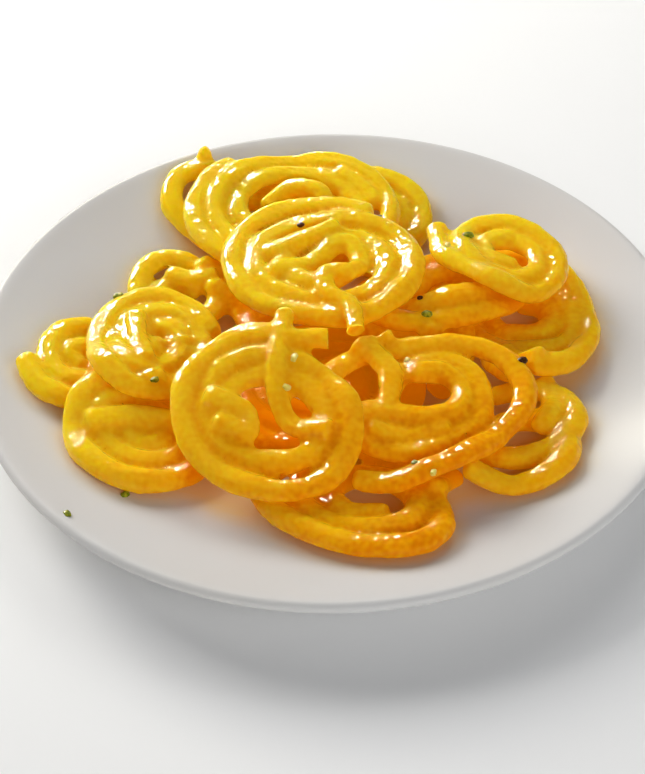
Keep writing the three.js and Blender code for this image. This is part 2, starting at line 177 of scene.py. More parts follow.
plateLook = {
    "radius": 130, "lipRadius": 126, "lipHeight": 21.6, "lipRound": 2.1, "lipDrop": 1.7,
    "wellRadius": 66, "wellHeight": 6.5, "bowlCurve": 1.55, "wall": 4.6,
    "footOuter": 72, "footInner": 66, "footMiddle": 69, "footRecess": 2, "axis": 0.01,
    "segments": 256, "lipSteps": 15, "slopeSteps": 40,
    # the last colour tints the plate near the heap: part syrup film, part painted glow of light through the
    # sweets
    "glaze": (0.70, 0.69, 0.675), "warmth": (1.0, 0.985, 0.965), "syrupAndGlow": (0.78, 0.60, 0.24),
    "cloudScale": 14, "rippleScale": 45, "rippleHeight": 0.0006, "filmSoftening": 10,
}


# Flat in the well, then rising by a power of the distance to the lip.
def plateTop(radius):
    look = plateLook
    share = np.clip(radius - look["wellRadius"], 0, None) / (look["lipRadius"] - look["wellRadius"])
    return look["wellHeight"] + (look["lipHeight"] - look["wellHeight"]) * share ** look["bowlCurve"]


# Radius and height from the middle of the underside, round the lip, to the middle of the top.
def plateProfile():
    look = plateLook
    inner, outer, recess, bend = look["footInner"], look["footOuter"], look["footRecess"], look["lipRound"]
    under = [(r, recess) for r in (look["axis"], 20, 45, 62)]
    under += [(inner, recess - 0.4), (inner + 0.6, 0.5), (inner + 1.6, 0.05), (look["footMiddle"], 0),
              (outer - 1.4, 0.1), (outer - 0.3, 0.9), (outer + 0.6, 2.4)]
    slope = np.linspace(outer + 4, look["lipRadius"], 22)
    thinning = 0.1 + 0.35 * smoothStep(110, look["lipRadius"], slope)
    under += list(zip(slope, plateTop(slope) - look["wall"] + thinning))
    turn = np.radians(np.linspace(-75, 105, look["lipSteps"]))
    lip = list(zip(look["radius"] - bend + bend * np.cos(turn),
                   look["lipHeight"] - look["lipDrop"] + bend * np.sin(turn)))
    slope = np.linspace(look["lipRadius"], look["wellRadius"] - 6, look["slopeSteps"])
    top = list(zip(slope, plateTop(slope)))
    top += [(r, look["wellHeight"]) for r in (*range(57, 0, -3), look["axis"])]
    return np.array([(float(r), float(z)) for r, z in under + lip + top])


# A profile of radius and height carried round the upright axis; both ends lie on the axis.
def revolve(profile, segments):
    turn = np.linspace(0, 2 * np.pi, segments, endpoint=False)
    rings = profile[1:-1]
    x = rings[:, None, 0] * np.cos(turn)
    y = rings[:, None, 0] * np.sin(turn)
    z = np.repeat(rings[:, None, 1], segments, axis=1)
    points = np.stack([x, y, z], -1).reshape(-1, 3)
    i, j = np.meshgrid(np.arange(len(rings) - 1), np.arange(segments), indexing="ij")
    a = i * segments + j
    b = i * segments + (j + 1) % segments
    quads = np.stack([a, b, b + segments, a + segments], -1).reshape(-1, 4)
    points = np.vstack([points, [0, 0, profile[0, 1]], [0, 0, profile[-1, 1]]])
    j = np.arange(segments)
    low = np.stack([np.full(segments, len(points) - 2), (j + 1) % segments, j], -1)
    start = (len(rings) - 1) * segments
    high = np.stack([np.full(segments, len(points) - 1), start + j, start + (j + 1) % segments], -1)
    return points, quads.tolist() + low.tolist() + high.tolist()


# White glaze, faintly uneven in tone and gloss, with a soft ripple from firing; near the heap a warm
# tint, partly a syrup film and partly painted glow of light come through the sweets.
def porcelainMaterial():
    look = plateLook
    material, shader = newMaterial("whitePorcelain")
    place = objectPlace(material)
    cloud = noise(material, place, look["cloudScale"], 3.0)
    warm = tuple(c * k for c, k in zip(look["glaze"], look["warmth"]))
    # A warm tint near the heap: part syrup film, part painted glow of light come through the sweets.
    uneven = maths(material, "MULTIPLY", attribute(material, "syrupAndGlow"), cloud)
    stainedAndGlowing = addNode(material, "ShaderNodeMix", {"data_type": "RGBA"},
                      _0=ramp(material, uneven, [(0.0, 0.0), (0.4, 0.9)]),
                      _6=ramp(material, cloud, [(0.3, warm), (0.7, look["glaze"])]), _7=(*look["syrupAndGlow"], 1))
    joinSocket(material, stainedAndGlowing.outputs[2], shader, "Base Color")
    joinSocket(material, ramp(material, cloud, [(0.3, 0.3), (0.7, 0.4)]), shader, "Roughness")
    ripple = noise(material, place, look["rippleScale"], 2.0)
    bump = addNode(material, "ShaderNodeBump", Strength=0.05, Distance=look["rippleHeight"], Height=ripple)
    joinSocket(material, bump.outputs["Normal"], shader, "Normal")
    shader.inputs["IOR"].default_value = 1.5
    shader.inputs["Specular IOR Level"].default_value = 0.02
    shader.inputs["Coat Weight"].default_value = 0.03
    shader.inputs["Coat Roughness"].default_value = 0.16
    return material


porcelain = porcelainMaterial()
plate = makeMesh("plateDish", *revolve(plateProfile(), plateLook["segments"]), porcelain, "plate")
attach(plate, "root")
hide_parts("plate")
print("plate made")


strandFlatness = 0.86  # height over width
# how far a chord may stray, the least and greatest pitch, samples along a path, samples for a bend
ringRule = {"chordError": 1.5, "least": 8, "most": 14, "fine": 600, "reach": 8}
# half the height map's side, gaps kept between sweets, step along a strand, then how steeply a
# strand comes down from a support, how rounded it is over it, how softly it meets the plane, how
# far strokes climb, and a height that never counts
heapRule = {
    "half": 134, "restGap": 0.35, "sideGap": 0.3, "step": 1.5,
    "slope": 0.5, "rounding": 4, "blend": 3, "lift": 0.5, "nowhere": -1e9,
}

# lowest to highest: middle in plan, lean, sink, strand half width, tone, then the coil's start angle,
# sweep, stretch [ratio, heading], drift and radii; strokes and lumps are in the same plan; tone is
# painted shade, higher for sweets that the window light reaches less
sweets = [
    dict(at=[-4, -14], lean=[0, 0], sink=6, strand=4.5, tone=0.8, start=-169, sweep=1010,
         stretch=[1.1, 20], drift=[0, 0],
         radii=[31, 32, 31, 30, 29, 24, 22, 23, 21, 20, 14, 12, 13, 11, 6]),
    dict(at=[7, -74], lean=[0, -0.1], sink=5, strand=4.5, tone=1, start=134, sweep=912,
         stretch=[1.4, -25], drift=[2, 1], radii=[20, 24, 22, 25, 21, 23, 15, 16, 15, 16, 14, 9, 7, 9, 9],
         strokes=[dict(strand=4, path=[[28, 1], [31, 6], [35, 11]])]),
    dict(at=[66, -43], lean=[0.08, -0.12], sink=6, strand=4.3, tone=0.5, start=-131, sweep=608,
         stretch=[1, 0], drift=[4, 5], radii=[28, 21, 10, 9, 17, 13, 20, 23],
         strokes=[dict(strand=4, path=[[12, 29], [14, 20], [12, 11], [9, 3]])]),
    dict(at=[75, 21], lean=[0.13, -0.08], sink=5, strand=4.5, tone=0.3, start=-25, sweep=915,
         stretch=[1.55, -75], drift=[0, 0], radii=[22, 20, 24, 24, 14, 15, 13, 15, 6, 8, 6],
         strokes=[dict(strand=4.2, path=[[-11, -22], [-6, -28], [0, -32]]),
                  dict(strand=4.2, path=[[-17, -20], [-16, -28], [-11, -36]])]),
    dict(at=[29, 28], lean=[0, 0], sink=6, strand=4.4, tone=0.4, start=-174, sweep=690, stretch=[1.2, 10],
         drift=[0, 0], radii=[20, 22, 18, 17, 17, 14, 13, 9, 9],
         strokes=[dict(strand=4.4, path=[[19, -12], [21, -23], [17, -34], [10, -45]])]),
    dict(at=[18, 82], lean=[0.02, 0.15], sink=4, strand=4.2, tone=0, start=-134, sweep=-615,
         stretch=[1.05, -15], drift=[0, 0], radii=[19, 23, 20, 17, 15, 12, 11, 11],
         strokes=[dict(strand=4.2, path=[[-13, -12], [-8, -21], [1, -27], [12, -25]])]),
    dict(at=[-33, 79], lean=[0, 0.2], sink=5, strand=4.4, tone=0, start=132, sweep=760,
         stretch=[1.45, -25], drift=[4, 4], radii=[26, 19, 17, 19, 13, 12, 10, 9, 7],
         lumps=[dict(at=[-17, 31], size=[3, 3, 5], lift=3)]),
    dict(at=[-92, -3], lean=[-0.2, 0], sink=4, strand=4.3, tone=0.1, start=108, sweep=775,
         stretch=[1.25, 80], drift=[0, 0], radii=[20, 17, 15, 16, 16, 12, 9, 8, 8, 7, 5, 2]),
    dict(at=[-68, -38], lean=[-0.1, 0.08], sink=6, strand=4.6, tone=0.4, start=26, sweep=-979,
         stretch=[1.15, -45], drift=[0, 0], radii=[23, 25, 21, 20, 17, 14, 15, 11, 9, 7, 6, 3],
         strokes=[dict(strand=4.6, path=[[-17, -2], [-11, 1], [-4, 2], [3, 1], [10, 2]])]),
    dict(at=[-57, 40], lean=[0, 0.1], sink=7, strand=4.4, tone=0, start=-54, sweep=-555,
         stretch=[1.1, -75], drift=[0, 0], radii=[15, 17, 18, 14, 14, 14, 11, 8, 7, 7],
         strokes=[dict(strand=4.2, path=[[-4, 8], [4, 5], [12, 7]]),
                  dict(strand=4.4, path=[[8, 13], [17, 9], [25, 3], [31, -5], [35, -14]]),
                  dict(strand=4.4, path=[[13, 1], [19, -4], [24, -11], [28, -20]])]),
    dict(at=[-15, 75], lean=[0, 0], sink=5, strand=4.3, tone=0.1, start=133, sweep=1107,
         stretch=[1.15, -5], drift=[0, 0], radii=[34, 33, 33, 34, 28, 25, 23, 23, 20, 14, 13, 11, 8],
         strokes=[dict(strand=4, path=[[19, 21], [26, 15], [32, 4]])]),
    dict(at=[41, 24], lean=[0, 0], sink=6, strand=4.4, tone=0.7, start=-156, sweep=678, stretch=[1.5, 15],
         drift=[0, 0], radii=[20, 18, 21, 18, 16, 13, 10, 13, 11, 9, 7],
         lumps=[dict(at=[-5, -22], size=[5.5, 4, 3.6], lift=-0.6)]),
    dict(at=[-66, -3], lean=[-0.1, -0.02], sink=5, strand=4.6, tone=0.3, start=-61, sweep=1067,
         stretch=[1.3, 80], drift=[0, 0], radii=[22, 22, 19, 20, 18, 14, 13, 12, 11, 8, 6, 4, 2],
         strokes=[dict(strand=4, path=[[-6, 12], [-5, 3], [-4, -5], [-1, -12]])],
         lumps=[dict(at=[2, -21], size=[6, 5, 4], lift=1.5),
                dict(at=[11, 2], size=[4, 3, 1.6], lift=2.4)]),
    dict(at=[65, 34], lean=[-0.05, -0.02], sink=4, strand=4.1, tone=0.3, start=-160, sweep=859,
         stretch=[1.3, -50], drift=[0, 0], radii=[23, 18, 18, 17, 20, 18, 14, 13, 12, 11, 12, 9, 7, 6, 5]),
    dict(at=[34, -39], lean=[0, 0.12], sink=5, strand=4.2, tone=1, start=-178, sweep=796,
         stretch=[1.2, 50], drift=[0, 0],
         radii=[34, 28, 27, 32, 28, 27, 37, 26, 20, 17, 18, 18, 19, 18, 13, 10, 9, 8],
         strokes=[dict(strand=4.2, path=[[-23, 27], [-17, 21], [-13, 12], [-12, 4], [-14, -2]]),
                  dict(strand=4.2, path=[[-27, -7], [-19, -4], [-11, -5], [-2, -7], [7, -5], [12, 2],
                                         [11, 10], [4, 15], [-4, 14]]),
                  dict(strand=4, path=[[-20, -13], [-12, -15], [-2, -14], [5, -11]])],
         lumps=[dict(at=[-14, 30], size=[2.6, 2.4, 4.6], lift=3),
                dict(at=[-19, 28], size=[3, 2.4, 3.4], lift=3)]),
    dict(at=[-2, 33], lean=[0.03, 0], sink=4, strand=4.3, tone=0.3, start=114, sweep=974,
         stretch=[1.05, -55], drift=[0, 0],
         radii=[32, 32, 34, 34, 33, 31, 33, 33, 31, 24, 21, 24, 26, 25, 23, 24, 24, 20, 15, 12, 14,
                16, 15, 13, 11],
         strokes=[dict(strand=4.1, path=[[-18, -7], [-11, -5], [-3, 0], [4, 8], [10, 7], [13, -1],
                                         [12, -8], [8, -11]]),
                  dict(strand=3.8, path=[[-20, 4], [-11, 8], [-2, 12], [4, 16]]),
                  dict(strand=3.5, blunt=True, path=[[8, -10], [3, -8], [0, -12], [-1, -19], [3, -24],
                                                     [8, -29], [10, -37], [11, -46]])]),
    dict(at=[-22, -45], lean=[0, 0.33], sink=4, strand=4.4, tone=0.7, start=127, sweep=834,
         stretch=[1.2, -50], drift=[0, 0],
         radii=[27, 25, 29, 31, 30, 26, 20, 18, 19, 22, 19, 20, 15, 11, 12, 17],
         strokes=[dict(strand=3.9, blunt=True, path=[[21, 26], [16, 26], [11, 26], [5, 25]]),
                  dict(strand=4, path=[[6, 36], [4, 28], [3, 19], [2, 10], [2, 4], [4, -2], [8, -8],
                                       [13, -12], [20, -14]]),
                  dict(strand=4.4, path=[[-20, 1], [-14, 0], [-9, -3], [-7, -8], [-7, -12], [-12, -13],
                                         [-17, -9]])]),
]


# Plan of a coil: radius against turn, stretched along the heading, drifting as it winds.
def coilPoint(sweet, share):
    turn = np.radians(sweet["start"] + sweet["sweep"] * share)
    ratio, heading = sweet["stretch"][0], math.radians(sweet["stretch"][1])
    radius = through(sweet["radii"], share * (len(sweet["radii"]) - 1))
    u = ratio * radius * np.cos(turn)
    v = radius * np.sin(turn)
    x = u * math.cos(heading) - v * math.sin(heading) + sweet["drift"][0] * share
    y = u * math.sin(heading) + v * math.cos(heading) + sweet["drift"][1] * share
    return np.stack([x, y], -1)


# Rings closer together where the curve bends more: pitch is sqrt(8 * radius of bend * chordError).
def ringsAlong(fine):
    count, reach = ringRule["fine"], ringRule["reach"]
    step = np.diff(fine, axis=0)
    gap = np.hypot(step[:, 0], step[:, 1])
    heading = np.arctan2(step[:, 1], step[:, 0])
    run = np.concatenate([[0], np.cumsum(gap)])
    low = np.maximum(np.arange(count) - reach, 0)
    high = np.minimum(np.arange(count) + reach, count - 1)
    change = heading[high] - heading[low]
    turn = np.abs(np.arctan2(np.sin(change), np.cos(change)))
    bend = (run[high] - run[low]) / np.maximum(turn, 1e-3)
    pitch = np.clip(np.sqrt(8 * bend * ringRule["chordError"]), ringRule["least"], ringRule["most"])
    spent = np.concatenate([[0], np.cumsum(gap / pitch)])
    rings = max(int(math.floor(spent[-1] + 0.5)), 2)
    wanted = spent[-1] * np.arange(rings + 1) / rings
    return np.stack([np.interp(wanted, spent, fine[:, axis]) for axis in (0, 1)], -1)


heapSize = 2 * heapRule["half"] + 1
gridLine = np.arange(heapSize) - heapRule["half"]
bareTop = plateTop(np.hypot(*np.meshgrid(gridLine, gridLine)))
heapTop = bareTop.copy()


# Rows, columns and shares of the grid cells within a width of each point.
def underStrand(point, width):
    reach = int(math.ceil(width.max())) + 1
    offset = np.arange(-reach, reach + 1)
    dj, di = np.meshgrid(offset, offset, indexing="ij")
    x, y, half = point[:, 0, None, None], point[:, 1, None, None], heapRule["half"]
    column = np.clip(np.round(x).astype(int) + di + half, 0, heapSize - 1)
    row = np.clip(np.round(y).astype(int) + dj + half, 0, heapSize - 1)
    away = np.hypot(column - half - x, row - half - y)
    return row, column, away / width[:, None, None]


# Lowest centre height at which a strand clears the heap.
def clearance(point, strand):
    row, column, share = underStrand(point, strand)
    half = strandFlatness * strand[:, None, None] * np.sqrt(np.clip(1 - share**2, 0, None))
    needed = heapTop[row, column] + half + heapRule["restGap"]
    return np.where(share < 1, needed, heapRule["nowhere"]).max((1, 2))


# Raises the heap by strands or lumps of that width, middle height and half height.
def cover(point, width, middle, half):
    row, column, share = underStrand(point, width)
    top = middle[:, None, None] + half[:, None, None] * np.sqrt(np.clip(1 - share**2, 0, None))
    inside = share < 1
    np.maximum.at(heapTop, (row[inside], column[inside]), top[inside])


# A leaning plane through the highest support less the sink, raised over each support as a cloth on
# posts is, and blended smoothly. Gives each strand's rings and the lumps in millimetres.
def layDown(sweet):
    rule = heapRule
    at, lean = np.array(sweet["at"], float), np.array(sweet["lean"], float)
    tilt = 1 / np.hypot(1, lean)
    fineShare = np.arange(ringRule["fine"] + 1) / ringRule["fine"]
    strands = [dict(strand=sweet["strand"], blunt=False, plan=ringsAlong(coilPoint(sweet, fineShare)))]
    for stroke in sweet.get("strokes", []):
        fine = through(stroke["path"], fineShare * (len(stroke["path"]) - 1))
        strands.append(dict(strand=stroke["strand"], blunt=stroke.get("blunt", False), plan=ringsAlong(fine)))
    part, index, share, point, width = [], [], [], [], []
    for number, strand in enumerate(strands):
        plan = strand["plan"]
        for k in range(len(plan) - 1):
            steps = math.ceil(np.hypot(*(plan[k + 1] - plan[k])) / rule["step"])
            s = np.arange(1 if k else 0, steps + 1) / steps
            part += [number] * len(s)
            index += [k] * len(s)
            share += s.tolist()
            point += (plan[k] + (plan[k + 1] - plan[k]) * s[:, None]).tolist()
            width += [strand["strand"]] * len(s)
    part, index, share, point, width = (np.array(v) for v in (part, index, share, point, width))

    # How far a stroke rises over the strands laid before it in the same sweet.
    def climb(place, number, strand):
        before = part < number
        if not before.any():
            return np.zeros(len(place))
        reach = strand + width[before]
        away = np.linalg.norm(place[:, None] - point[before][None], axis=-1) / reach
        return (rule["lift"] * reach * strandFlatness * np.clip(1 - away**2, 0, None) ** 2).max(1)

    climbs = np.concatenate([climb(point[part == n], n, s["strand"]) for n, s in enumerate(strands)])
    needs = clearance(point * tilt + at, width) - climbs
    level = (needs - point @ lean).max() - sweet["sink"]

    def rest(place):
        plane = level + place @ lean
        away = np.linalg.norm(place[:, None] - point[None], axis=-1)
        tent = (needs - rule["slope"] * (np.hypot(away, rule["rounding"]) - rule["rounding"])).max(1)
        mix = np.clip(0.5 + (plane - tent) / (2 * rule["blend"]), 0, 1)
        return tent + (plane - tent) * mix + rule["blend"] * mix * (1 - mix)

    for number, strand in enumerate(strands):
        plan = strand["plan"]
        heights = rest(plan) + climb(plan, number, strand["strand"])
        mine = part == number
        k, s = index[mine], share[mine]
        short = needs[mine] + climbs[mine] - (heights[k] * (1 - s) + heights[k + 1] * s)
        raised = np.zeros(len(heights))
        np.maximum.at(raised, k, short)
        np.maximum.at(raised, k + 1, short)
        strand["rings"] = np.column_stack([plan * tilt + at, heights + raised])
    middles = np.zeros((len(point), 3))
    for number, strand in enumerate(strands):
        mine = part == number
        k, s = index[mine], share[mine][:, None]
        middles[mine] = strand["rings"][k] * (1 - s) + strand["rings"][k + 1] * s
    cover(middles[:, :2], width + rule["sideGap"], middles[:, 2], strandFlatness * width)
    lumps = []
    for lump in sweet.get("lumps", []):
        place = np.array(lump["at"]) * tilt + at
        nearest = np.linalg.norm(middles[:, :2] - place, axis=1).argmin()
        middle = np.array([*place, middles[nearest, 2] + lump["lift"]])
        size = np.array(lump["size"], float)
        cover(middle[None, :2], size[None, :2].max(1) + rule["sideGap"], middle[2:], size[2:])
        lumps.append((middle, size))
    return dict(strands=strands, lumps=lumps, middles=middles, widths=width)


laid = [layDown(sweet) for sweet in sweets]
print("heap settled,", round(float(heapTop.max()), 1), "mm high")


# Value of a square grid of the heap at each point.
def onGrid(grid, points):
    column = np.clip(np.round(points[:, 0]).astype(int) + heapRule["half"], 0, heapSize - 1)
    row = np.clip(np.round(points[:, 1]).astype(int) + heapRule["half"], 0, heapSize - 1)
    return grid[row, column]


# A grid softened by repeated means of each cell and its neighbours two cells away.
def softened(grid, times):
    for _ in range(times):
        rows = np.roll(grid, 2, 0) + np.roll(grid, -2, 0)
        grid = (grid + rows + np.roll(grid, 2, 1) + np.roll(grid, -2, 1)) / 5
    return grid


# Syrup has run from the heap on to the plate: a film that fades out past the heap's edge. Its warm
# tint is partly painted glow, the light that comes through the sweets on to the plate near them.
def wetAndGlowingPlate():
    co = readVertices(plate.data, "co") / mm
    covered = heapTop > bareTop + 1
    above = co[:, 2] > plateTop(np.hypot(co[:, 0], co[:, 1])) - 1
    film = onGrid(softened(covered.astype(float), plateLook["filmSoftening"]), co) * above
    plate.data.attributes.new("syrupAndGlow", "FLOAT", "POINT").data.foreach_set("value", film.astype(np.float32))


wetAndGlowingPlate()


batterLook = {
    "step": 0.8,  # along a strand
    "around": 36,
    "unevenWidth": 0.09, "unevenEvery": 14,  # share of the half width, steps
    "sway": 0.5, "swayEvery": 16,  # how far a strand strays from its line
    "groove": 0.1, "grooveEvery": 26, "grooveWidth": 0.36,  # share of the half width, steps, radians
    "grooveTurn": 0.4, "flutes": 5, "fluteDepth": 0.012, "twist": 2, "twistEvery": 40,
    "endRings": 8, "endReach": 0.92, "bluntReach": 0.3,  # an end runs on by this share of the half width
    "leastEnd": 0.0004,  # keeps the last ring open
    "close": 1.25,  # gaps up to twice this fill as touching turns run together
    "voxel": 0.55, "smoothing": 5, "grooveReach": 12,
    "relief": [(7.0, 0.24), (2.6, 0.2)],  # size and height of the crust's swells
    "lumpRows": 12, "lumpTurns": 20, "lumpSwell": 0.12,
}


# An oval section carried along the smooth curve through the rings. Its half width swells and thins a
# little, and runs down to nothing at the ends as the root of 1 - t^2 (t^6 if blunt). A groove comes
# and goes along its top, where the poured batter folded.
def strandSkin(rings, strand, blunt, seed):
    look = batterLook
    count = max(int(np.linalg.norm(np.diff(rings, axis=0), axis=1).sum() / look["step"]), look["endRings"])
    middle = through(rings, np.linspace(0, len(rings) - 1, count))
    reach = strand * look["bluntReach" if blunt else "endReach"]
    ahead = [middle[0] - middle[1], middle[-1] - middle[-2]]
    stretch = [reach * v / np.linalg.norm(v) for v in ahead]
    ease = np.sin(np.linspace(0, np.pi / 2, look["endRings"]))[1:]
    first, last = middle[0] + stretch[0] * ease[::-1, None], middle[-1] + stretch[1] * ease[:, None]
    middle = np.vstack([first, middle, last])
    power = 6 if blunt else 2
    cap = np.sqrt(np.clip(1 - ease**power, look["leastEnd"], None))
    size = np.concatenate([cap[::-1], np.ones(count), cap])
    size *= 1 + look["unevenWidth"] * wobble(look["unevenEvery"], len(size), seed)
    tangent = np.gradient(middle, axis=0)
    tangent /= np.linalg.norm(tangent, axis=1)[:, None]
    side = np.cross(tangent, [0, 0, 1])
    side /= np.linalg.norm(side, axis=1)[:, None]
    up = np.cross(side, tangent)
    middle = middle + look["sway"] * (side * wobble(look["swayEvery"], len(size), seed + 2)[:, None]
                                      + up * wobble(look["swayEvery"], len(size), seed + 3)[:, None])
    angle = np.linspace(0, 2 * np.pi, look["around"], endpoint=False)
    twist = wobble(look["twistEvery"], len(size), seed + 1)[:, None] * look["twist"]
    flute = 1 + look["fluteDepth"] * np.cos(look["flutes"] * angle + twist)
    groove = look["groove"] * (0.5 + 0.5 * wobble(look["grooveEvery"], len(size), seed + 4))[:, None]
    place = np.pi / 2 + look["grooveTurn"] * wobble(look["grooveEvery"], len(size), seed + 5)[:, None]
    flute = flute - groove * np.exp(-(((angle - place) / look["grooveWidth"]) ** 2))
    half = (strand + look["close"]) * size[:, None] * flute
    tall = (strandFlatness * strand + look["close"]) * size[:, None] * flute
    points = (middle[:, None] + side[:, None] * (half * np.cos(angle))[..., None]
              + up[:, None] * (tall * np.sin(angle))[..., None])
    rows, around = len(middle), look["around"]
    i, j = np.meshgrid(np.arange(rows - 1), np.arange(around), indexing="ij")
    a = i * around + j
    b = i * around + (j + 1) % around
    quads = np.stack([a, a + around, b + around, b], -1).reshape(-1, 4)
    ends = [list(range(around)), list(range(rows * around - 1, (rows - 1) * around - 1, -1))]
    return points.reshape(-1, 3), quads.tolist() + ends


# A pebble: a sphere by height and turn, squeezed to its size and swollen by soft noise.
def lumpSkin(middle, size, seed):
    look = batterLook
    rows, turns = look["lumpRows"], look["lumpTurns"]
    tall, turn = np.meshgrid(np.linspace(-np.pi / 2, np.pi / 2, rows + 2)[1:-1],
                             np.linspace(0, 2 * np.pi, turns, endpoint=False), indexing="ij")
    ball = np.stack([np.cos(tall) * np.cos(turn), np.cos(tall) * np.sin(turn), np.sin(tall)], -1)
    ball = np.vstack([ball.reshape(-1, 3), [0, 0, -1], [0, 0, 1]])
    swell = 1 + look["lumpSwell"] * latticeNoise(ball * 3 + seed, 1.6, seed)
    i, j = np.meshgrid(np.arange(rows - 1), np.arange(turns), indexing="ij")
    a, b = i * turns + j, i * turns + (j + 1) % turns
    quads = np.stack([a, b, b + turns, a + turns], -1).reshape(-1, 4)
    j = np.arange(turns)
    bottom, last = rows * turns, (rows - 1) * turns
    low = np.stack([np.full(turns, bottom), (j + 1) % turns, j], -1)
    high = np.stack([np.full(turns, bottom + 1), last + j, last + (j + 1) % turns], -1)
    points = middle + ball * swell[:, None] * (size + look["close"])
    return points, quads.tolist() + low.tolist() + high.tolist()


# Runs the skins together into one closed skin of even voxels, softens it, draws it back by the
# closing distance along its normals, and raises the crust's swells.
def fuse(name, skins, seed):
    points, faces = joinSkins(skins)
    rough = bpy.data.meshes.new(name + "Rough")
    rough.from_pydata((points * mm).tolist(), [], faces)
    carrier = bpy.data.objects.new(name + "Rough", rough)
    bpy.context.scene.collection.objects.link(carrier)
    remesh = carrier.modifiers.new("voxels", "REMESH")
    remesh.mode = "VOXEL"
    remesh.voxel_size = batterLook["voxel"] * mm
    soften = carrier.modifiers.new("soften", "SMOOTH")
    soften.factor = 0.5
    soften.iterations = batterLook["smoothing"]
    mesh = bpy.data.meshes.new_from_object(carrier.evaluated_get(bpy.context.evaluated_depsgraph_get()))
    bpy.data.objects.remove(carrier)
    bpy.data.meshes.remove(rough)
    co, normal = readVertices(mesh, "co") / mm, readVertices(mesh, "normal")
    rise = -batterLook["close"] * np.ones(len(co))
    for number, (size, height) in enumerate(batterLook["relief"]):
        rise += height * latticeNoise(co, size, seed + number)
    co = co + normal * rise[:, None]
    mesh.vertices.foreach_set("co", (co * mm).ravel())
    mesh.polygons.foreach_set("use_smooth", np.ones(len(mesh.polygons), bool))
    mesh.name = name
    mesh.update()
    return mesh, co, normal


syrupLook = {
    # colours from the heap's lit top (bright) to its painted shade (deep)
    "bright": (0.88, 0.62, 0.022), "middle": (0.78, 0.375, 0.007), "deep": (0.65, 0.19, 0.002),
    # painted glow: light the surface emits in place of light that has come through the batter, at the heap's
    # top and deep in it
    "glow": (0.07, 0.028, 0.0), "deepGlow": (0.16, 0.06, 0.0),
    # what makes the batter look deeper, all painted shade except the clouds and flecks: depth in the heap,
    # faces turned from the sky, grooves, the sweet's tone, clouds, flecks and the side away from the window
    "depthShare": 0.45, "sideShare": 0.1, "grooveShare": 0.16, "toneShare": 0.35, "cloudShare": 0.35,
    "fleckShare": 0.25, "shadeShare": 0.16, "depthReach": 20, "heapSoftening": 6,
    "subsurface": 1.0, "scale": 0.008, "radius": (1.0, 0.5, 0.03),
    "roughness": 0.4, "coatRoughness": 0.02, "coatIor": 1.25,
    "cloudScale": 90, "crustScale": 480, "grainScale": 900, "patchScale": 60,
    "crustHeight": 0.00022, "grainHeight": 0.00028,
}


# Fried batter soaked in syrup, with painted shade: paler where the skin is thin and open to the sky,
# deeper amber in the grooves and low in the heap, with a painted glow; light scatters inside; a wet
# coat with grainy patches on top.
def batterMaterial(name):
    look = syrupLook
    material, shader = newMaterial(name)
    place = objectPlace(material)
    # Painted shade stored on the skin: darker deep in the heap, on faces turned from the sky, in grooves and
    # away from the window.
    paintedShade = attribute(material, "paintedShade")
    cloud = noise(material, place, look["cloudScale"], 3.0, 0.55)
    crust = noise(material, place, look["crustScale"], 0.0)
    clouded = maths(material, "MULTIPLY_ADD", cloud, look["cloudShare"], paintedShade)
    flecked = maths(material, "MULTIPLY_ADD", crust, look["fleckShare"], clouded)
    # The colour deepens with the painted shade and varies with clouds and flecks.
    tones = [(0.4, look["bright"]), (0.77, look["middle"]), (0.97, look["deep"])]
    joinSocket(material, ramp(material, flecked, tones), shader, "Base Color")
    # Painted glow: emission in place of light come through the batter, stronger with the painted shade.
    glow = ramp(material, paintedShade, [(0.1, look["glow"]), (0.8, look["deepGlow"])])
    joinSocket(material, glow, shader, "Emission Color")
    shader.inputs["Emission Strength"].default_value = 1.0
    grain = noise(material, place, look["grainScale"], 0.0)
    patch = noise(material, place, look["patchScale"], 2.0)
    fine = maths(material, "MULTIPLY", grain, ramp(material, patch, [(0.5, 0.03), (0.58, 1.0)]))
    coarse = addNode(material, "ShaderNodeBump", Strength=1.0, Distance=look["crustHeight"], Height=crust)
    both = addNode(material, "ShaderNodeBump", Strength=1.0, Distance=look["grainHeight"], Height=fine,
                   Normal=coarse.outputs["Normal"])
    joinSocket(material, coarse.outputs["Normal"], shader, "Normal")
    joinSocket(material, both.outputs["Normal"], shader, "Coat Normal")
    shader.inputs["Subsurface Weight"].default_value = look["subsurface"]
    shader.inputs["Subsurface Radius"].default_value = look["radius"]
    shader.inputs["Subsurface Scale"].default_value = look["scale"]
    shader.inputs["Roughness"].default_value = look["roughness"]
    shader.inputs["IOR"].default_value = 1.45
    shader.inputs["Specular IOR Level"].default_value = 0.0
    joinSocket(material, ramp(material, paintedShade, [(0.45, 1.0), (0.8, 0.4)]), shader, "Coat Weight")
    shader.inputs["Coat Roughness"].default_value = look["coatRoughness"]
    shader.inputs["Coat IOR"].default_value = look["coatIor"]
    return material


# How far a point lies below the heap's softened upper surface, 0 at the top to 1 at depthReach.
def depthInHeap(co):
    soft = softened(heapTop, syrupLook["heapSoftening"])
    return np.clip((onGrid(soft, co) - co[:, 2]) / syrupLook["depthReach"], 0, 1)


